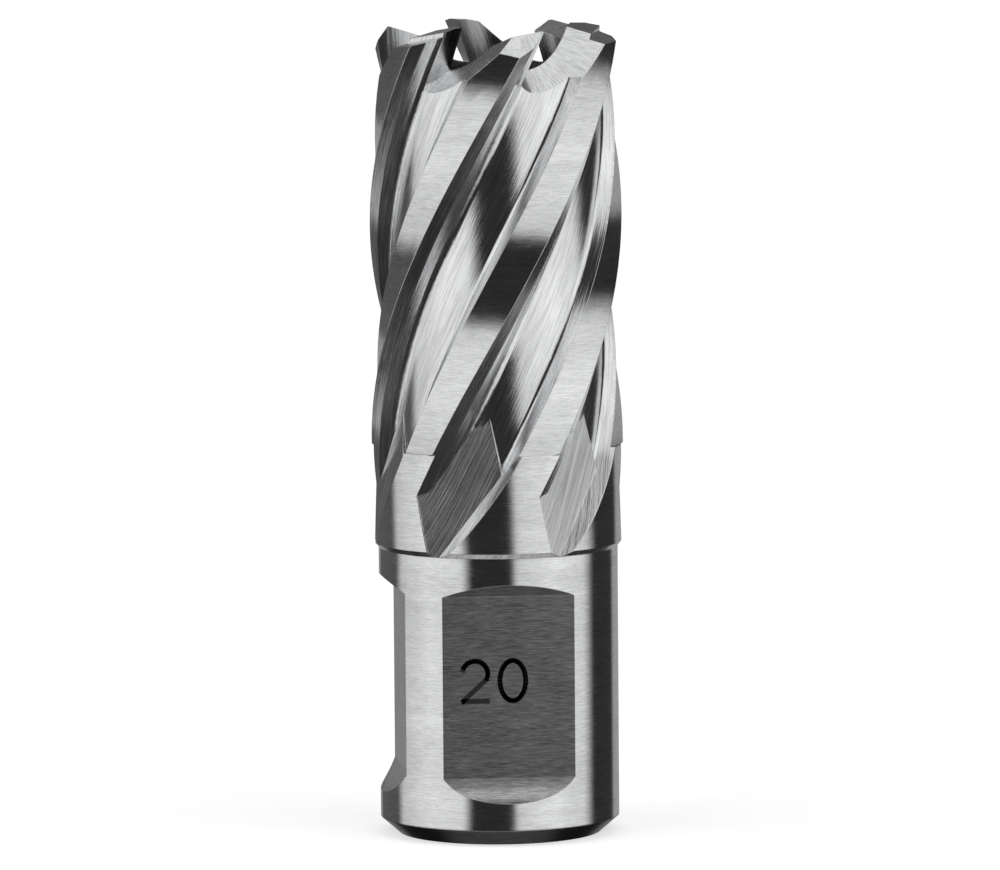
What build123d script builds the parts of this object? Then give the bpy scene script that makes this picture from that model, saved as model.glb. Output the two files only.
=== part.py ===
from build123d import *
from math import cos, radians, sin
import os

# Annular cutter (hollow core drill) with a two-flat 19.05 mm shank, and its sliding pilot pin.
#
# Millimetres.  Origin at the centre of the shank's end face, +Z along the axis towards the teeth.
# The two driving flats face -Y and -X.  Azimuths are in degrees from -Y towards +X, so they grow
# with height along the right-hand flutes, and the teeth cut towards growing azimuth.

# Shank
SHANK_RADIUS = 9.525
SHANK_TOP_Z = 22.9
END_CHAMFER_RADIAL = 1.45
END_CHAMFER_HEIGHT = 1.28
FLAT_DISTANCE = 7.95
FLAT_FLOOR_LOW_Z = 5.3
FLAT_FLOOR_HIGH_Z = 19.75
FLAT_LOW_Z = 3.45
FLAT_HIGH_Z = 20.8

# Body
NECK_RADIUS = 9.85
NECK_LOW_Z = 23.3
NECK_TOP_Z = 31.0
CUTTING_RADIUS = 10.0
TOTAL_HEIGHT = 64.5
CORE_RADIUS = 6.0
CORE_FLOOR_Z = 31.0
PIN_BORE_RADIUS = 3.20
BORE_CHAMFER = 0.5

# Flutes and teeth
TOOTH_COUNT = 6
PITCH_ANGLE = 360 / TOOTH_COUNT
TWIST_RATE = 3.27
PHASE_Z = 60.6
FLUTE_LOW_Z = 20.0
FLUTE_HIGH_Z = 67.0

# Flute section: (degrees ahead of the land's leading corner, radius)
LEADING_CORNER = (0.0, CUTTING_RADIUS)
LEADING_KNEE = (5.6, 9.4)
LEADING_FOOT = (10.0, 8.2)
FLOOR_MIDDLE = (24.0, 8.31)
TRAILING_FOOT = (37.5, 8.45)
TRAILING_CORNER = (43.0, CUTTING_RADIUS)
LEADING_FILLET = 0.8
TRAILING_FILLET = 0.4

# Relief, ground flat behind each land's leading corner: its direction, degrees behind the corner
RELIEF_TURN = 18.2
RELIEF_ARC = 24.0

# Uneven spacing against chatter: degrees that each tooth's cutting side stands ahead
TOOTH_SHIFTS = (0.0, 0.0, 0.0, 0.0, 0.0, 4.5)

# Rake face inside the ridge, in the same terms
RAKE_OUTER = (10.2, 9.3)
RAKE_INNER = (12.9, 5.6)

# Flute run-out, for the flute whose leading corner is at azimuth 0 at height PHASE_Z
RUNOUT_AZIMUTH = -78.6
RUNOUT_SLOPE = 5.3
RUNOUT_END = (-102.8, NECK_RADIUS, 24.9)
RUNOUT_START_LOW = (-64.1, 29.95)
RUNOUT_START_HIGH = (-70.3, 34.35)
WALL_START_Z = 30.0
WALL_TIP = (-92.1, 9.8, 22.85)
WALL_OVERLAP = 0.02

# Gullets, placed by their lowest point
GULLET_AHEAD = 19.6
GULLET_RADIUS = 8.4
GULLET_Z = 59.38
GULLET_RISE = 36.0
GULLET_FRONT_ARC = 1.2
GULLET_BACK_ARC = 7.8
GULLET_BACK_SLOPE = 22.9

# Tooth tops: each facet is a height at a point and its rise per mm, ahead and inwards
LOW_CORNER_Z = 62.35
LOW_OUTER_RISE = (0.09, 0.943)
LOW_RIDGE = (17.2, 8.5, 64.35)
LOW_INNER_RISE = (0.18, -0.268)
HIGH_CORNER_Z = 63.2
HIGH_RISE = (0.17, 0.20)
HIGH_STEP = 0.35
HIGH_STEP_REACH = 8.15

# Pilot pin
PIN_RADIUS = 3.17
PIN_LENGTH = 58.0
PIN_TIP_HEIGHT = 3.2
PIN_TAIL_CHAMFER = 0.6
PIN_FLAT_DISTANCE = 2.55
PIN_FLAT_LOW_Z = 9.0

BIG = 40.0
TROUGH_REACH = 14.0


def polar(azimuth, radius, z=0.0):
    """A point at an azimuth from -Y towards +X."""
    return Vector(radius * sin(radians(azimuth)), -radius * cos(radians(azimuth)), z)


def lead_azimuth(z):
    """Azimuth of the first land's leading corner at a height."""
    return TWIST_RATE * (z - PHASE_Z)


def twisted(section):
    """A section drawn for the height PHASE_Z, twisted along the flutes from low to high."""
    turned = Rot(0, 0, lead_azimuth(FLUTE_LOW_Z)) * section
    height = FLUTE_HIGH_Z - FLUTE_LOW_Z
    prism = Solid.extrude_linear_with_rotation(
        turned.face(), center=(0, 0, 0), normal=(0, 0, height), angle=TWIST_RATE * height
    )
    return Pos(0, 0, FLUTE_LOW_Z) * prism


def block_on(origin, normal, side):
    """A big block standing on a plane, on the side that the normal points to."""
    plane = Plane(origin=origin, x_dir=side, z_dir=normal)
    return plane * Pos(0, 0, BIG / 2) * Box(BIG, BIG, BIG)


def turned_blank():
    """The lathe-turned outside of the cutter."""
    with_chamfer = SHANK_RADIUS - END_CHAMFER_RADIAL
    outline = Polyline(
        (0, 0),
        (with_chamfer, 0),
        (SHANK_RADIUS, END_CHAMFER_HEIGHT),
        (SHANK_RADIUS, SHANK_TOP_Z),
        (NECK_RADIUS, NECK_LOW_Z),
        (NECK_RADIUS, NECK_TOP_Z),
        (CUTTING_RADIUS, NECK_TOP_Z + 0.1),
        (CUTTING_RADIUS, TOTAL_HEIGHT),
        (0, TOTAL_HEIGHT),
        close=True,
    )
    return revolve(Plane.XZ * make_face(outline), Axis.Z)


def bores():
    """The slug space in the body and the pin's bore through the shank."""
    core_height = TOTAL_HEIGHT - CORE_FLOOR_Z + 1
    core = Pos(0, 0, CORE_FLOOR_Z + core_height / 2) * Cylinder(CORE_RADIUS, core_height)
    pin_bore = Pos(0, 0, CORE_FLOOR_Z / 2) * Cylinder(PIN_BORE_RADIUS, CORE_FLOOR_Z + 2)
    mouth_radius = PIN_BORE_RADIUS + BORE_CHAMFER
    mouth = Pos(0, 0, BORE_CHAMFER / 2) * Cone(mouth_radius, PIN_BORE_RADIUS, BORE_CHAMFER)
    return [core, pin_bore, mouth]


def driving_flat():
    """The pocket of one driving flat, cut into the -Y side, with a scooped lower end."""
    outside = SHANK_RADIUS + 0.7
    depth = SHANK_RADIUS - FLAT_DISTANCE
    high_end = FLAT_HIGH_Z - FLAT_FLOOR_HIGH_Z
    high_reach = FLAT_FLOOR_HIGH_Z + high_end * (outside - FLAT_DISTANCE) / depth
    low_reach = FLAT_LOW_Z - 0.45
    low_end = FLAT_FLOOR_LOW_Z - FLAT_LOW_Z
    scoop_middle = (FLAT_DISTANCE + 0.45 * depth, FLAT_LOW_Z + 0.40 * low_end)
    edges = Polyline(
        (FLAT_DISTANCE, FLAT_FLOOR_LOW_Z),
        (FLAT_DISTANCE, FLAT_FLOOR_HIGH_Z),
        (outside, high_reach),
        (outside, low_reach),
    )
    scoop = ThreePointArc((outside, low_reach), scoop_middle, (FLAT_DISTANCE, FLAT_FLOOR_LOW_Z))
    outline = Plane(origin=(0, 0, 0), x_dir=(0, -1, 0), z_dir=(-1, 0, 0)) * make_face(edges + scoop)
    return extrude(outline, SHANK_RADIUS, both=True)


def ahead(point, shift):
    """An (azimuth, radius) turned ahead by some degrees."""
    return polar(point[0] + shift, point[1])


def flute_section(shift):
    """The flute's section at the height PHASE_Z, open past the cutting diameter."""
    corner = ahead(LEADING_CORNER, shift)
    knee = ahead(LEADING_KNEE, shift)
    foot = ahead(LEADING_FOOT, shift)
    far_foot = polar(*TRAILING_FOOT)
    far_corner = polar(*TRAILING_CORNER)
    middle = polar(*FLOOR_MIDDLE)
    outside = corner + (corner - knee)
    far_outside = far_corner + (far_corner - far_foot)
    walls = Polyline(foot, knee, outside, polar(20, 13), far_outside, far_foot)
    floor = ThreePointArc(far_foot, middle, foot)
    section = make_face(walls + floor)
    near = section.vertices().sort_by_distance(foot)[0]
    section = fillet(near, LEADING_FILLET)
    far = section.vertices().sort_by_distance(far_foot)[0]
    return fillet(far, TRAILING_FILLET)


def relief(shift):
    """The clearance ground off the back of one land, above the neck."""

    def on_relief(azimuth):
        depth = CUTTING_RADIUS * cos(radians(RELIEF_TURN))
        return polar(azimuth, depth / cos(radians(azimuth - shift + RELIEF_TURN)))

    start = shift + 1.0
    end = shift - RELIEF_ARC
    outline = Polyline(on_relief(start), on_relief(end), polar(end, 13), polar(start, 13), close=True)
    above_neck = Pos(0, 0, NECK_TOP_Z + BIG / 2) * Box(BIG, BIG, BIG)
    return twisted(make_face(outline)) & above_neck


def runout_floor():
    """The ramp left standing in a flute where its wheel was lifted out."""
    rise = radians(RUNOUT_SLOPE)
    outward = polar(RUNOUT_AZIMUTH, cos(rise), sin(rise))
    end = polar(*RUNOUT_END)
    depth = end.dot(outward)

    def on_ramp(azimuth, z):
        flat_part = cos(rise) * cos(radians(azimuth - RUNOUT_AZIMUTH))
        return polar(azimuth, (depth - z * sin(rise)) / flat_part, z)

    low = on_ramp(*RUNOUT_START_LOW)
    high = on_ramp(*RUNOUT_START_HIGH)
    along = (high - low).normalized()
    away = outward.cross(along)
    plane = Plane(origin=(low + high) * 0.5, x_dir=away, z_dir=outward)
    return plane * Pos(BIG / 2, 0, -BIG / 4) * Box(BIG, BIG, BIG / 2)


def runout_wall():
    """What the lifted wheel left standing on the trailing side of a flute."""
    lead = lead_azimuth(WALL_START_Z)
    foot = polar(lead + TRAILING_FOOT[0], TRAILING_FOOT[1], WALL_START_Z)
    corner = polar(lead + TRAILING_CORNER[0], TRAILING_CORNER[1], WALL_START_Z)
    across = (corner - foot).normalized()
    inward = (polar(*WALL_TIP) - foot).cross(across).normalized() * -1
    plane = Plane(origin=foot, x_dir=across, z_dir=inward)
    return plane * Pos(0, BIG / 2 - WALL_OVERLAP, BIG / 2) * Box(BIG, BIG, BIG)


def flute(shift):
    """One twisted flute with its run-out."""
    left_standing = runout_floor() + runout_wall()
    return twisted(flute_section(shift)) - left_standing


def gullet_outline():
    """The gullet's profile, open upwards: a tight front corner, a wide bottom and a long back slope."""
    front = GULLET_FRONT_ARC
    back = GULLET_BACK_ARC
    slope = radians(GULLET_BACK_SLOPE)
    half = slope / 2
    diagonal = radians(45)
    front_middle = (-front * sin(diagonal), front * (1 - cos(diagonal)))
    back_middle = (back * sin(half), back * (1 - cos(half)))
    back_end = (back * sin(slope), back * (1 - cos(slope)))
    slope_end = (back_end[0] + TROUGH_REACH * cos(slope), back_end[1] + TROUGH_REACH * sin(slope))
    front_arc = ThreePointArc((-front, front), front_middle, (0, 0))
    back_arc = ThreePointArc((0, 0), back_middle, back_end)
    back_top = (slope_end[0], TROUGH_REACH)
    front_top = (-front, TROUGH_REACH)
    sides = Polyline(back_end, slope_end, back_top, front_top, (-front, front))
    return make_face(front_arc + back_arc + sides)


def gullet(shift):
    """The gap cut through the wall ahead of the first tooth, rising inwards.

    Its back slope runs on as the clearance behind the next tooth's cutting edge.
    """
    azimuth = lead_azimuth(GULLET_Z) + GULLET_AHEAD
    rise = radians(GULLET_RISE)
    outward = polar(azimuth, cos(rise), -sin(rise))
    lowest = polar(azimuth, GULLET_RADIUS, GULLET_Z)
    plane = Plane(origin=lowest, x_dir=polar(azimuth + 90, 1), z_dir=outward)
    trough = extrude(plane * gullet_outline(), 8, both=True)
    return trough & twisted(rake_section(shift))


def rake_section(shift):
    """Everything ahead of the rake face, at the height PHASE_Z."""
    inner = ahead(RAKE_INNER, shift)
    outer = ahead(RAKE_OUTER, shift)
    far = [polar(16, 13), polar(50, 15), polar(70, 13), polar(60, 5)]
    return make_face(Polyline(inner, outer, *far, inner))


def facet(point, rise):
    """What lies above a facet through a point near -Y, given its rise per mm ahead and inwards."""
    normal = Vector(-rise[0], -rise[1], 1)
    return block_on(point, normal, (1, 0, rise[0]))


def low_tooth_top():
    """The cut that leaves a ridge, low at the cutting diameter and falling again to the bore."""
    outer = facet(polar(0, CUTTING_RADIUS, LOW_CORNER_Z), LOW_OUTER_RISE)
    inner = facet(polar(*LOW_RIDGE), LOW_INNER_RISE)
    tooth = Pos(0.4, -7.5, LOW_RIDGE[2]) * Box(6.0, 6.0, 8.0)
    return [outer, inner & tooth]


def high_tooth_top():
    """The cut that leaves the bore side highest, with a small step down to the outer part."""
    corner = polar(0, CUTTING_RADIUS, HIGH_CORNER_Z)
    outer = facet(corner, HIGH_RISE)
    inner = facet(corner + Vector(0, 0, HIGH_STEP), HIGH_RISE)
    outer_part = Pos(0, -HIGH_STEP_REACH - BIG / 2, corner.Z) * Box(BIG, BIG, BIG)
    tooth = Pos(0, -BIG / 2 - 3.0, corner.Z) * Box(9.0, BIG, 8.0)
    return [outer & outer_part, inner & tooth]


def tooth_top(index):
    """What is ground off one tooth's top: low and high teeth take turns."""
    low = index % 2 == 0
    tools = low_tooth_top() if low else high_tooth_top()
    corner_z = LOW_CORNER_Z if low else HIGH_CORNER_Z
    place = Rot(0, 0, lead_azimuth(corner_z) + TOOTH_SHIFTS[index])
    return [place * tool for tool in tools]


def tooth_cuts(index):
    """Everything cut away ahead of and above one tooth."""
    shift = TOOTH_SHIFTS[index]
    return [flute(shift), gullet(shift), relief(shift)] + tooth_top(index)


def annular_cutter():
    """The cutter: one piece of high-speed steel."""
    front_flat = driving_flat()
    side_flat = Rot(0, 0, -90) * front_flat
    cutter = turned_blank() - bores() - [front_flat, side_flat]
    for index in range(TOOTH_COUNT):
        for tool in tooth_cuts(index):
            cutter -= Rot(0, 0, PITCH_ANGLE * index) * tool
    return cutter


def pilot_pin():
    """The loose pin that finds the hole's centre and pushes the slug out."""
    shoulder_z = PIN_LENGTH - PIN_TIP_HEIGHT
    outline = Polyline(
        (0, 0),
        (PIN_RADIUS - PIN_TAIL_CHAMFER, 0),
        (PIN_RADIUS, PIN_TAIL_CHAMFER),
        (PIN_RADIUS, shoulder_z),
        (0, PIN_LENGTH),
        close=True,
    )
    pin = revolve(Plane.XZ * make_face(outline), Axis.Z)
    flat_height = shoulder_z - PIN_FLAT_LOW_Z
    flat_middle_z = PIN_FLAT_LOW_Z + flat_height / 2 + 5
    coolant_flat = Pos(0, PIN_FLAT_DISTANCE + 2, flat_middle_z) * Box(10, 4, flat_height + 10)
    return pin - coolant_flat


def save(shape, name):
    """Label one node and write its STEP file."""
    solids = shape.solids()
    node = solids[0] if len(solids) == 1 else Compound(children=list(solids))
    node.label = name
    export_step(node, f"parts/{name}.step")


os.makedirs("parts", exist_ok=True)
save(annular_cutter(), "annular_cutter")
save(pilot_pin(), "pilot_pin")
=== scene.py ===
import math

import bpy
from mathutils import Matrix, Vector


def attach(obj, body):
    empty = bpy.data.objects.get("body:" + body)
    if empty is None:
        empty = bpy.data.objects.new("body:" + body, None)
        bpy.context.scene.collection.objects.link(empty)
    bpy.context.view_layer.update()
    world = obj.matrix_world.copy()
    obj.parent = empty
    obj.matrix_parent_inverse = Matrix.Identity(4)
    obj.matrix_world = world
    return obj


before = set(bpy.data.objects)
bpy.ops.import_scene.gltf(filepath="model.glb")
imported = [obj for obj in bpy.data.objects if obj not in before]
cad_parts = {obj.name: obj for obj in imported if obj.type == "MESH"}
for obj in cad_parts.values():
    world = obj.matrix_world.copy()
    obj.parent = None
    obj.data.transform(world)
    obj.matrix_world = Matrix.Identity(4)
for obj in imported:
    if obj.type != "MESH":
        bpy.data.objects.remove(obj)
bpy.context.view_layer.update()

# Ground steel annular cutter: its materials, size mark, pale floor, studio light and camera.
# The frame is in metres.  Material coordinates are in millimetres.
# Azimuths are in degrees from -Y towards +X.

MM_PER_M = 1000.0

# Camera
CAMERA_AZIMUTH = -5.6
CAMERA_DISTANCE = 0.7192
CAMERA_HEIGHT = 0.1101
CAMERA_PITCH = 6.222
CAMERA_YAW = -0.0172
CAMERA_ROLL = -0.44
FOCAL_PIXELS = 9093.0
IMAGE_WIDTH = 1000
SENSOR_WIDTH = 36.0
CLIP_START = 0.01
CLIP_END = 20.0

# The studio that the steel reflects: (degrees right of the camera, brightness)
STUDIO_BANDS = [
    (-180, 0.34),
    (-163, 0.30),
    (-158, 0.11),
    (-116, 0.09),
    (-107, 0.62),
    (-70, 0.86),
    (-36, 0.80),
    (-27, 0.026),
    (12, 0.026),
    (18, 0.70),
    (55, 0.92),
    (90, 0.72),
    (103, 0.028),
    (139, 0.034),
    (145, 0.34),
    (180, 0.34),
]
BELOW_BRIGHTNESS = 0.03
NADIR_BRIGHTNESS = 0.40
ABOVE_BRIGHTNESS = 0.74
BEHIND_BRIGHTNESS = 0.09

# Where each of those zones starts and is full, along a direction of length 1
BELOW_FADE = (-0.36, -0.52)
NADIR_FADE = (-0.80, -0.92)
ABOVE_FADE = (0.84, 0.94)
BEHIND_FADE = (0.55, 0.80)
BEHIND_RISE = (0.06, 0.20)

# Floor, with its reach in metres
FLOOR_REACH = 8.0
FLOOR_COLOUR = 0.90
FLOOR_ROUGHNESS = 0.9
FLOOR_GLOW = 0.62

# Cutter's landmarks, in mm and degrees.  A fade is where a finish, or the painted shade on the bottom
# chamfer, starts and where it is full:
# FACING_UP_FADE goes by how far up the surface faces, and the others by height or radius.
TWIST_RATE = 3.27
PHASE_Z = 60.6
PITCH_ANGLE = 60.0
LAND_START = 41.0
LAND_FADE = (9.30, 9.38)
SHANK_RADIUS = 9.525
NECK_RADIUS = 9.85
CUTTING_RADIUS = 10.0
CORE_RADIUS = 6.0
CORE_MARGIN = 0.05
SKIN_OUTER_DEPTH = 0.03
SKIN_INNER_DEPTH = 0.06
CHAMFER_FADE = (1.45, 1.15)
SHANK_TOP_Z = 22.9
STEP_BLUR = 0.1
NECK_TOP_Z = 31.0
RUN_OUT_FADE = (35.0, 30.0)
GULLET_Z = 59.3
GULLET_BLUR = 0.6
FACING_UP_FADE = (0.22, 0.40)
FLAT_DISTANCE = 7.95

# Each finish's gray and roughness, and the painted shade on the bottom chamfer
WHEEL_CUT_COLOUR = 0.84
GROUND_COLOUR = 0.78
TOOTH_COLOUR = 0.88
FLAT_COLOUR = 0.50
CORE_COLOUR = 0.42
# Painted shade: the bottom chamfer is made nearly black, as if it were in the shade of the floor under
# the cutter.
CHAMFER_PAINTED_SHADE = 0.09
PIN_COLOUR = 0.58
WHEEL_CUT_ROUGHNESS = 0.17
GROUND_ROUGHNESS = 0.13
TOOTH_ROUGHNESS = 0.26
FLAT_ROUGHNESS = 0.24
PIN_ROUGHNESS = 0.22

# How strongly the fine lines show in each finish, and their height in mm
WHEEL_CUT_CONTRAST = 1.25
RUN_OUT_CONTRAST = 1.9
GROUND_CONTRAST = 0.85
WHEEL_CUT_RELIEF = 1.3
GROUND_RELIEF = 0.60
LINE_HEIGHT = 0.0065
PIN_LINE_HEIGHT = 0.002

# How fast each pattern changes along its lines, as a share of how fast it changes across them,
# and how far the scores on the run-outs replace the wheel's lines there
RING_STRETCH = 0.10
BROAD_RING_STRETCH = 0.05
PIN_RING_STRETCH = 0.03
WHEEL_LINE_STRETCH = 0.05
WHEEL_BAND_STRETCH = 0.10
SCORE_STRETCH = 0.012
SCORE_DEPTH_STRETCH = 0.15
TOOTH_LINE_STRETCH = 0.12
SCORE_SHARE = 0.85

# How far each pattern moves the gray, as a share of it, and the roughness
BAND_SHADE = 0.16
CLOUD_SHADE = 0.12
SPECK_SHADE = 0.10
PIN_SHADE = 0.08
CLOUD_ROUGHNESS = 0.05
LINE_ROUGHNESS = 0.06

# Metals: their brushed look, the cool tint of their gray, and rounded edges with a painted highlight
# along them, the radius in mm
CUTTER_ANISOTROPY = 0.45
PIN_ANISOTROPY = 0.35
ANISOTROPY_TURN = 0.25
RED_SHARE = 0.992
BLUE_SHARE = 1.010
EDGE_RADIUS = 0.07
# Where the painted edge highlight starts and is full, and its near-white colour
EDGE_HIGHLIGHT_FADE = (0.01, 0.12)
EDGE_HIGHLIGHT_COLOUR = 0.93

# Size mark, in mm and degrees.  STROKE_OVERLAP is a share of half a stroke's width.
MARK_LEFT = -3.72
MARK_LOW_Z = 11.45
DIGIT_WIDTH = 2.05
DIGIT_HEIGHT = 3.20
DIGIT_GAP = 0.95
TWO_CROWN_START = 165
TWO_CROWN_END = -25
TWO_FOOT_INSET = 0.05
TWO_CROWN_STEPS = 14
ZERO_STEPS = 32
MARK_STROKE = 0.40
STROKE_OVERLAP = 0.6
MARK_THICKNESS = 0.012
MARK_COLOURS = (0.008, 0.035)
MARK_ROUGHNESSES = (0.45, 0.75)
MARK_SPECULAR = 0.15


def join(tree, value, socket):
    """Link a socket, or write a constant."""
    if isinstance(value, bpy.types.NodeSocket):
        tree.links.new(value, socket)
    else:
        socket.default_value = value


def calc(tree, operation, *values, clamp=False):
    """One math node."""
    node = tree.nodes.new("ShaderNodeMath")
    node.operation = operation
    node.use_clamp = clamp
    for socket, value in zip(node.inputs, values):
        join(tree, value, socket)
    return node.outputs[0]


def ramp_between(tree, value, low, high):
    """0 at low and 1 at high, smooth in between and level beyond. Low may be the larger."""
    node = tree.nodes.new("ShaderNodeMapRange")
    node.interpolation_type = "SMOOTHSTEP"
    join(tree, value, node.inputs["Value"])
    node.inputs["From Min"].default_value = low
    node.inputs["From Max"].default_value = high
    return node.outputs["Result"]


def rescale(tree, value, low, high):
    """A value from 0 to 1 spread between low and high."""
    node = tree.nodes.new("ShaderNodeMapRange")
    join(tree, value, node.inputs["Value"])
    node.inputs["To Min"].default_value = low
    node.inputs["To Max"].default_value = high
    return node.outputs["Result"]


def blend_values(tree, factor, first, second):
    """Mix two numbers."""
    node = tree.nodes.new("ShaderNodeMix")
    node.data_type = "FLOAT"
    join(tree, factor, node.inputs[0])
    join(tree, first, node.inputs[2])
    join(tree, second, node.inputs[3])
    return node.outputs[0]


def vector_of(tree, x, y, z):
    """Three numbers as one vector."""
    node = tree.nodes.new("ShaderNodeCombineXYZ")
    for socket, value in zip(node.inputs, (x, y, z)):
        join(tree, value, socket)
    return node.outputs[0]


def noise(tree, vector, scale, detail, roughness):
    """Fractal noise, around 0.5."""
    node = tree.nodes.new("ShaderNodeTexNoise")
    join(tree, vector, node.inputs["Vector"])
    node.inputs["Scale"].default_value = scale
    node.inputs["Detail"].default_value = detail
    node.inputs["Roughness"].default_value = roughness
    return node.outputs["Fac"]


def gray(tree, value):
    """A number as a very slightly cool gray."""
    node = tree.nodes.new("ShaderNodeCombineColor")
    join(tree, calc(tree, "MULTIPLY", value, RED_SHARE), node.inputs[0])
    join(tree, value, node.inputs[1])
    join(tree, calc(tree, "MULTIPLY", value, BLUE_SHARE), node.inputs[2])
    return node.outputs[0]


def places(tree):
    """Where a point of the steel lies: its coordinates, radius, azimuth and surface direction."""
    source = tree.nodes.new("ShaderNodeTexCoord")
    to_mm = tree.nodes.new("ShaderNodeVectorMath")
    to_mm.operation = "SCALE"
    to_mm.inputs["Scale"].default_value = MM_PER_M
    tree.links.new(source.outputs["Object"], to_mm.inputs[0])
    split = tree.nodes.new("ShaderNodeSeparateXYZ")
    tree.links.new(to_mm.outputs[0], split.inputs[0])
    x, y, z = split.outputs
    facing = tree.nodes.new("ShaderNodeSeparateXYZ")
    tree.links.new(source.outputs["Normal"], facing.inputs[0])
    square = calc(tree, "ADD", calc(tree, "MULTIPLY", x, x), calc(tree, "MULTIPLY", y, y))
    radius = calc(tree, "SQRT", square)
    azimuth = calc(tree, "ARCTAN2", x, calc(tree, "MULTIPLY", y, -1.0))
    return {"x": x, "y": y, "z": z, "radius": radius, "azimuth": azimuth, "up": facing.outputs[2]}


def untwisted(tree, place):
    """A point's azimuth, in radians, with the flutes' twist taken out."""
    turn = calc(tree, "MULTIPLY", place["z"], math.radians(TWIST_RATE))
    return calc(tree, "SUBTRACT", place["azimuth"], turn)


def along_flutes(tree, place, stretch):
    """Coordinates that stay nearly the same along a flute: a noise on them gives lines along it."""
    azimuth = untwisted(tree, place)
    x = calc(tree, "MULTIPLY", calc(tree, "SINE", azimuth), place["radius"])
    y = calc(tree, "MULTIPLY", calc(tree, "COSINE", azimuth), place["radius"])
    return vector_of(tree, x, y, calc(tree, "MULTIPLY", place["z"], stretch))


def along_run_outs(tree, place):
    """Coordinates that change slowly with depth too: a noise on them gives long scores on a ramp."""
    arc_length = calc(tree, "MULTIPLY", untwisted(tree, place), CUTTING_RADIUS)
    depth = calc(tree, "MULTIPLY", place["radius"], SCORE_DEPTH_STRETCH)
    return vector_of(tree, arc_length, depth, calc(tree, "MULTIPLY", place["z"], SCORE_STRETCH))


def land_mask(tree, place):
    """1 on the ground backs of the lands, between one flute and the next."""
    turned = calc(tree, "MULTIPLY", calc(tree, "SUBTRACT", place["z"], PHASE_Z), -TWIST_RATE)
    ahead = calc(tree, "ADD", calc(tree, "DEGREES", place["azimuth"]), turned)
    share = calc(tree, "FRACT", calc(tree, "DIVIDE", ahead, PITCH_ANGLE))
    between_flutes = calc(tree, "GREATER_THAN", share, LAND_START / PITCH_ANGLE)
    high = ramp_between(tree, place["radius"], *LAND_FADE)
    return calc(tree, "MULTIPLY", between_flutes, high)


def around_axis(tree, place, stretch):
    """Coordinates that change fast along the axis: a noise on them gives turned or ground rings."""
    x = calc(tree, "MULTIPLY", place["x"], stretch)
    y = calc(tree, "MULTIPLY", place["y"], stretch)
    return vector_of(tree, x, y, place["z"])


def across_teeth(tree, place):
    """Coordinates that change fast round the axis: a noise on them gives lines outwards."""
    arc_length = calc(tree, "MULTIPLY", place["azimuth"], CUTTING_RADIUS)
    depth = calc(tree, "MULTIPLY", place["radius"], TOOTH_LINE_STRETCH)
    height = calc(tree, "MULTIPLY", place["z"], TOOTH_LINE_STRETCH)
    return vector_of(tree, arc_length, depth, height)


def skin_of(tree, place, radius):
    """1 on a ground cylinder of that radius, and 0 on what is cut into it."""
    inner = radius - SKIN_INNER_DEPTH
    outer = radius - SKIN_OUTER_DEPTH
    return ramp_between(tree, place["radius"], inner, outer)


def steel_shader(material, anisotropy):
    """The Principled shader of a bare metal, with its constant settings."""
    tree = material.node_tree
    shader = tree.nodes["Principled BSDF"]
    shader.inputs["Metallic"].default_value = 1.0
    shader.inputs["Anisotropic"].default_value = anisotropy
    shader.inputs["Anisotropic Rotation"].default_value = ANISOTROPY_TURN
    tangent = tree.nodes.new("ShaderNodeTangent")
    tangent.direction_type = "RADIAL"
    tangent.axis = "Z"
    tree.links.new(tangent.outputs[0], shader.inputs["Tangent"])
    return shader


def finish_surface(tree, shader, colour, roughness, height, depth_mm):
    """Give the shader its colour, roughness and relief, with rounded edges and a painted highlight along
    them.
    """
    rounded = tree.nodes.new("ShaderNodeBevel")
    rounded.inputs["Radius"].default_value = EDGE_RADIUS / MM_PER_M
    facing = tree.nodes.new("ShaderNodeNewGeometry")
    likeness = tree.nodes.new("ShaderNodeVectorMath")
    likeness.operation = "DOT_PRODUCT"
    tree.links.new(rounded.outputs[0], likeness.inputs[0])
    tree.links.new(facing.outputs["Normal"], likeness.inputs[1])
    # Painted highlight: the colour is lightened towards near white where the rounded edges turn away
    # from the face.
    turned_by = calc(tree, "SUBTRACT", 1.0, likeness.outputs["Value"])
    painted_highlight = ramp_between(tree, turned_by, *EDGE_HIGHLIGHT_FADE)
    highlighted_colour = blend_values(tree, painted_highlight, colour, EDGE_HIGHLIGHT_COLOUR)
    join(tree, gray(tree, highlighted_colour), shader.inputs["Base Color"])
    join(tree, roughness, shader.inputs["Roughness"])
    bump = tree.nodes.new("ShaderNodeBump")
    tree.links.new(rounded.outputs[0], bump.inputs["Normal"])
    bump.inputs["Strength"].default_value = 1.0
    bump.inputs["Distance"].default_value = depth_mm / MM_PER_M
    tree.links.new(height, bump.inputs["Height"])
    tree.links.new(bump.outputs[0], shader.inputs["Normal"])


def new_material(name):
    """A material with only a Principled shader and an output."""
    material = bpy.data.materials.new(name)
    material.use_nodes = True
    return material


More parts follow.
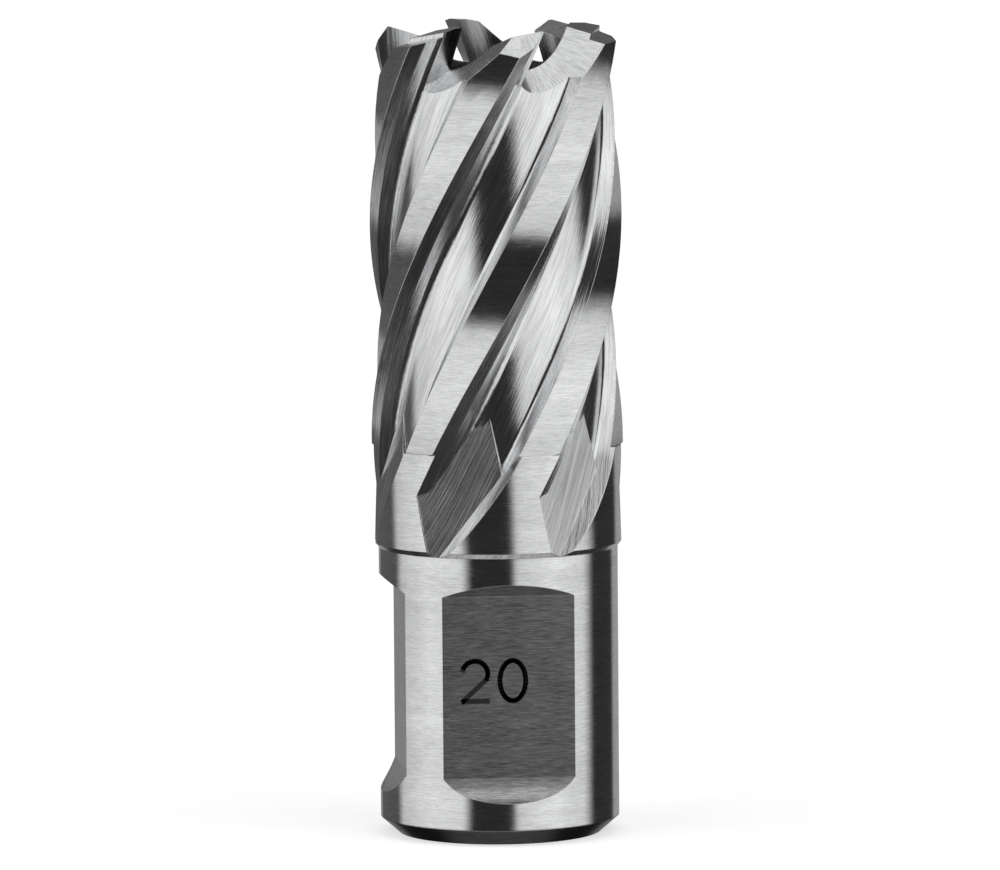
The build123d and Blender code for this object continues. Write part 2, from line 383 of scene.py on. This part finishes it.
def finish_masks(tree, place):
    """1 where each finish of the cutter lies, and on the bottom chamfer that gets painted shade, and 0
    elsewhere.
    """
    z = place["z"]
    above_step = ramp_between(tree, z, SHANK_TOP_Z - STEP_BLUR, SHANK_TOP_Z + STEP_BLUR)
    shank = calc(tree, "SUBTRACT", 1.0, above_step)
    shank_skin = skin_of(tree, place, SHANK_RADIUS)
    above_neck = calc(tree, "GREATER_THAN", z, NECK_TOP_Z)
    body_skin = blend_values(tree, above_neck, skin_of(tree, place, NECK_RADIUS), land_mask(tree, place))
    skin = blend_values(tree, above_step, shank_skin, body_skin)
    facing_up = ramp_between(tree, place["up"], *FACING_UP_FADE)
    near_teeth = ramp_between(tree, z, GULLET_Z - GULLET_BLUR, GULLET_Z)
    return {
        "skin": skin,
        "ringed": calc(tree, "MAXIMUM", skin, shank),
        "flat": calc(tree, "MULTIPLY", shank, calc(tree, "SUBTRACT", 1.0, shank_skin)),
        # The bottom chamfer of the shank, where painted shade goes.
        "painted_chamfer_shade": calc(tree, "MULTIPLY", ramp_between(tree, z, *CHAMFER_FADE), shank),
        "run_out": ramp_between(tree, z, *RUN_OUT_FADE),
        "tooth": calc(tree, "MULTIPLY", facing_up, near_teeth),
        "core": calc(tree, "LESS_THAN", place["radius"], CORE_RADIUS + CORE_MARGIN),
    }


def grinding_lines(tree, place, masks):
    """Fine lines, around 0.5, in the direction that each finish is ground in."""
    ring_place = around_axis(tree, place, RING_STRETCH)
    rings = noise(tree, ring_place, scale=9.0, detail=4.0, roughness=0.68)
    line_place = along_flutes(tree, place, WHEEL_LINE_STRETCH)
    wheel_lines = noise(tree, line_place, scale=7.0, detail=4.0, roughness=0.65)
    scores = noise(tree, along_run_outs(tree, place), scale=5.0, detail=3.0, roughness=0.75)
    top_lines = noise(tree, across_teeth(tree, place), scale=6.0, detail=3.0, roughness=0.65)
    scored = calc(tree, "MULTIPLY", masks["run_out"], SCORE_SHARE)
    cut_lines = blend_values(tree, scored, wheel_lines, scores)
    cut_lines = blend_values(tree, masks["tooth"], cut_lines, top_lines)
    return blend_values(tree, masks["ringed"], cut_lines, rings)


def grinding_bands(tree, place, masks):
    """Broad bands, around 0.5, that follow the lines."""
    band_place = along_flutes(tree, place, WHEEL_BAND_STRETCH)
    wheel_bands = noise(tree, band_place, scale=1.3, detail=2.0, roughness=0.5)
    ring_place = around_axis(tree, place, BROAD_RING_STRETCH)
    broad_rings = noise(tree, ring_place, scale=1.6, detail=2.0, roughness=0.5)
    return blend_values(tree, masks["ringed"], wheel_bands, broad_rings)


def cutter_gray(tree, masks):
    """Each finish's own gray, with painted shade on the bottom chamfer."""
    colour = blend_values(tree, masks["skin"], WHEEL_CUT_COLOUR, GROUND_COLOUR)
    colour = blend_values(tree, masks["tooth"], colour, TOOTH_COLOUR)
    colour = blend_values(tree, masks["flat"], colour, FLAT_COLOUR)
    colour = blend_values(tree, masks["core"], colour, CORE_COLOUR)
    # Painted shade: the bottom chamfer is made nearly black.
    return blend_values(tree, masks["painted_chamfer_shade"], colour, CHAMFER_PAINTED_SHADE)


def cutter_roughness(tree, masks, clouds, lines):
    """Each finish's own roughness, uneven along its clouds and lines."""
    roughness = blend_values(tree, masks["skin"], WHEEL_CUT_ROUGHNESS, GROUND_ROUGHNESS)
    roughness = blend_values(tree, masks["tooth"], roughness, TOOTH_ROUGHNESS)
    roughness = blend_values(tree, masks["flat"], roughness, FLAT_ROUGHNESS)
    by_clouds = rescale(tree, clouds, -CLOUD_ROUGHNESS, CLOUD_ROUGHNESS)
    by_lines = rescale(tree, lines, -LINE_ROUGHNESS, LINE_ROUGHNESS)
    roughness = calc(tree, "ADD", roughness, by_clouds)
    return calc(tree, "ADD", roughness, by_lines, clamp=True)


def tool_steel():
    """High-speed steel: ground lands and shank, wheel-cut flutes, gullets and tooth tops."""
    material = new_material("tool_steel")
    tree = material.node_tree
    shader = steel_shader(material, CUTTER_ANISOTROPY)
    place = places(tree)
    masks = finish_masks(tree, place)
    lines = grinding_lines(tree, place, masks)
    bands = grinding_bands(tree, place, masks)
    point = vector_of(tree, place["x"], place["y"], place["z"])
    clouds = noise(tree, point, scale=0.35, detail=4.0, roughness=0.55)
    specks = noise(tree, point, scale=6.0, detail=2.0, roughness=0.7)

    cut_contrast = blend_values(tree, masks["run_out"], WHEEL_CUT_CONTRAST, RUN_OUT_CONTRAST)
    contrast = blend_values(tree, masks["skin"], cut_contrast, GROUND_CONTRAST)
    shade = calc(tree, "MULTIPLY", calc(tree, "SUBTRACT", lines, 0.5), contrast)
    shade = calc(tree, "ADD", shade, rescale(tree, bands, -BAND_SHADE, BAND_SHADE))
    shade = calc(tree, "ADD", shade, rescale(tree, clouds, -CLOUD_SHADE, CLOUD_SHADE))
    shade = calc(tree, "ADD", shade, rescale(tree, specks, -SPECK_SHADE, SPECK_SHADE))
    shaded = calc(tree, "ADD", shade, 1.0)
    colour = calc(tree, "MULTIPLY", cutter_gray(tree, masks), shaded, clamp=True)

    roughness = cutter_roughness(tree, masks, clouds, lines)
    line_relief = blend_values(tree, masks["ringed"], WHEEL_CUT_RELIEF, GROUND_RELIEF)
    height = calc(tree, "MULTIPLY", lines, line_relief)
    finish_surface(tree, shader, colour, roughness, height, LINE_HEIGHT)
    return material


def pin_steel():
    """The pin's harder, centreless-ground steel, a little darker and smoother."""
    material = new_material("pin_steel")
    tree = material.node_tree
    shader = steel_shader(material, PIN_ANISOTROPY)
    place = places(tree)
    point = vector_of(tree, place["x"], place["y"], place["z"])
    ring_place = around_axis(tree, place, PIN_RING_STRETCH)
    rings = noise(tree, ring_place, scale=12.0, detail=4.0, roughness=0.6)
    clouds = noise(tree, point, scale=0.5, detail=4.0, roughness=0.55)
    by_rings = rescale(tree, rings, -PIN_SHADE, PIN_SHADE)
    shade = calc(tree, "ADD", by_rings, rescale(tree, clouds, -PIN_SHADE, PIN_SHADE))
    colour = calc(tree, "MULTIPLY", PIN_COLOUR, calc(tree, "ADD", shade, 1.0))
    by_clouds = rescale(tree, clouds, -CLOUD_ROUGHNESS, CLOUD_ROUGHNESS)
    roughness = calc(tree, "ADD", PIN_ROUGHNESS, by_clouds)
    finish_surface(tree, shader, colour, roughness, rings, PIN_LINE_HEIGHT)
    return material


def mark_material():
    """The size mark's burnt, rough, nearly black line."""
    material = new_material("size_mark")
    tree = material.node_tree
    shader = tree.nodes["Principled BSDF"]
    place = places(tree)
    point = vector_of(tree, place["x"], place["y"], place["z"])
    spots = noise(tree, point, scale=9.0, detail=3.0, roughness=0.7)
    join(tree, gray(tree, rescale(tree, spots, *MARK_COLOURS)), shader.inputs["Base Color"])
    join(tree, rescale(tree, spots, *MARK_ROUGHNESSES), shader.inputs["Roughness"])
    shader.inputs["Specular IOR Level"].default_value = MARK_SPECULAR
    return material


def dress(node, material):
    """Give a CAD node one material."""
    node.data.materials.clear()
    node.data.materials.append(material)


def arc(centre, radius_x, radius_y, start, end, count):
    """Points of an elliptic arc, angles in degrees anticlockwise from +X."""
    points = []
    for index in range(count + 1):
        angle = math.radians(start + (end - start) * index / count)
        points.append((centre[0] + radius_x * math.cos(angle), centre[1] + radius_y * math.sin(angle)))
    return points


def digit_two():
    """The line of a 2, drawn from its top left, in mm from its lower left corner."""
    half = DIGIT_WIDTH / 2
    centre = (half, DIGIT_HEIGHT - half)
    crown = arc(centre, half, half, TWO_CROWN_START, TWO_CROWN_END, TWO_CROWN_STEPS)
    return crown + [(TWO_FOOT_INSET, 0.0), (DIGIT_WIDTH, 0.0)]


def digit_zero():
    """The closed line of a 0, in mm from its lower left corner."""
    half = DIGIT_WIDTH / 2
    tall = DIGIT_HEIGHT / 2
    return arc((half, tall), half, tall, 0, 360, ZERO_STEPS)


def stroke_mesh(line, left, low_z):
    """Vertices and faces of thin blocks, end to end along a line, on the front flat."""
    verts = []
    faces = []
    front_y = -(FLAT_DISTANCE + MARK_THICKNESS)
    back_y = -(FLAT_DISTANCE - MARK_THICKNESS)
    half = MARK_STROKE / 2
    for start, end in zip(line, line[1:]):
        ahead = Vector((end[0] - start[0], end[1] - start[1])).normalized()
        side = Vector((-ahead.y, ahead.x)) * half
        a = Vector(start) - ahead * half * STROKE_OVERLAP
        b = Vector(end) + ahead * half * STROKE_OVERLAP
        base = len(verts)
        for y in (front_y, back_y):
            for corner in (a - side, b - side, b + side, a + side):
                point = Vector((left + corner.x, y, low_z + corner.y))
                verts.append(point / MM_PER_M)
        faces.append([base, base + 1, base + 2, base + 3])
        faces.append([base + 7, base + 6, base + 5, base + 4])
        for edge in range(4):
            after = (edge + 1) % 4
            faces.append([base + edge, base + 4 + edge, base + 4 + after, base + after])
    return verts, faces


def size_mark():
    """The etched size, 20 (millimetres), as generic numerals on the front flat."""
    material = mark_material()
    left = MARK_LEFT
    for name, line in (("size_mark_2", digit_two()), ("size_mark_0", digit_zero())):
        verts, faces = stroke_mesh(line, left, MARK_LOW_Z)
        mesh = bpy.data.meshes.new(name)
        mesh.from_pydata(verts, [], faces)
        mesh.materials.append(material)
        piece = bpy.data.objects.new(name, mesh)
        bpy.context.scene.collection.objects.link(piece)
        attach(piece, "cutter")
        left += DIGIT_WIDTH + DIGIT_GAP


def make_floor():
    """A plain pale floor, bright enough to be nearly white."""
    mesh = bpy.data.meshes.new("floor")
    signs = ((-1, -1), (1, -1), (1, 1), (-1, 1))
    corners = [(x * FLOOR_REACH, y * FLOOR_REACH, 0) for x, y in signs]
    mesh.from_pydata(corners, [], [(0, 1, 2, 3)])
    material = new_material("floor")
    shader = material.node_tree.nodes["Principled BSDF"]
    shader.inputs["Base Color"].default_value = (FLOOR_COLOUR, FLOOR_COLOUR, FLOOR_COLOUR, 1)
    shader.inputs["Roughness"].default_value = FLOOR_ROUGHNESS
    shader.inputs["Specular IOR Level"].default_value = 0.0
    shader.inputs["Emission Color"].default_value = (1, 1, 1, 1)
    shader.inputs["Emission Strength"].default_value = FLOOR_GLOW
    mesh.materials.append(material)
    floor = bpy.data.objects.new("floor", mesh)
    bpy.context.scene.collection.objects.link(floor)
    floor.visible_glossy = False


def band_position(tree, x, y):
    """A direction's place in STUDIO_BANDS, from 0 to 1, with the camera at 0.5."""
    azimuth = calc(tree, "ARCTAN2", x, calc(tree, "MULTIPLY", y, -1.0))
    turns = calc(tree, "DIVIDE", azimuth, 2 * math.pi)
    shifted = calc(tree, "ADD", turns, 0.5 - CAMERA_AZIMUTH / 360)
    return calc(tree, "FRACT", shifted)


def band_brightness(tree, share):
    """The brightness of the upright bands at that share of their round."""
    ramp = tree.nodes.new("ShaderNodeValToRGB")
    join(tree, share, ramp.inputs[0])
    stops = ramp.color_ramp.elements
    while len(stops) > 1:
        stops.remove(stops[-1])
    for index, (angle, brightness) in enumerate(STUDIO_BANDS):
        position = angle / 360 + 0.5
        stop = stops[0] if index == 0 else stops.new(position)
        stop.position = position
        stop.color = (brightness, brightness, brightness, 1)
    return ramp.outputs[0]


def behind_object(tree, x, y, z):
    """1 straight behind the object and above the horizon, and 0 elsewhere."""
    forward = math.radians(CAMERA_AZIMUTH)
    sideways = calc(tree, "MULTIPLY", x, -math.sin(forward))
    away = calc(tree, "ADD", sideways, calc(tree, "MULTIPLY", y, math.cos(forward)))
    far_side = ramp_between(tree, away, *BEHIND_FADE)
    raised = ramp_between(tree, z, *BEHIND_RISE)
    return calc(tree, "MULTIPLY", far_side, raised)


def make_studio():
    """Tall soft panels and dark gaps round the object, which the steel reflects."""
    world = bpy.data.worlds.new("studio")
    world.use_nodes = True
    tree = world.node_tree
    background = tree.nodes["Background"]
    source = tree.nodes.new("ShaderNodeTexCoord")
    split = tree.nodes.new("ShaderNodeSeparateXYZ")
    tree.links.new(source.outputs["Generated"], split.inputs[0])
    x, y, z = split.outputs
    level = band_brightness(tree, band_position(tree, x, y))
    level = blend_values(tree, behind_object(tree, x, y, z), level, BEHIND_BRIGHTNESS)
    level = blend_values(tree, ramp_between(tree, z, *ABOVE_FADE), level, ABOVE_BRIGHTNESS)
    level = blend_values(tree, ramp_between(tree, z, *BELOW_FADE), level, BELOW_BRIGHTNESS)
    level = blend_values(tree, ramp_between(tree, z, *NADIR_FADE), level, NADIR_BRIGHTNESS)
    join(tree, level, background.inputs["Color"])
    background.inputs["Strength"].default_value = 1.0
    bpy.context.scene.world = world


def make_camera():
    """A long lens, higher than the teeth and looking slightly down."""
    data = bpy.data.cameras.new("camera")
    data.sensor_width = SENSOR_WIDTH
    data.lens = FOCAL_PIXELS / IMAGE_WIDTH * SENSOR_WIDTH
    data.clip_start = CLIP_START
    data.clip_end = CLIP_END
    camera = bpy.data.objects.new("camera", data)
    turn = Matrix.Rotation(math.radians(CAMERA_AZIMUTH), 4, "Z")
    back = Matrix.Translation((0, -CAMERA_DISTANCE, CAMERA_HEIGHT))
    yaw = Matrix.Rotation(math.radians(CAMERA_YAW), 4, "Z")
    tilt = Matrix.Rotation(math.radians(90 - CAMERA_PITCH), 4, "X")
    roll = Matrix.Rotation(math.radians(CAMERA_ROLL), 4, "Z")
    camera.matrix_world = turn @ back @ yaw @ tilt @ roll
    bpy.context.scene.collection.objects.link(camera)
    bpy.context.scene.camera = camera


dress(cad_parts["annular_cutter"], tool_steel())
dress(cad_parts["pilot_pin"], pin_steel())
size_mark()
make_floor()
make_studio()
make_camera()
bpy.context.scene.view_settings.view_transform = "Standard"
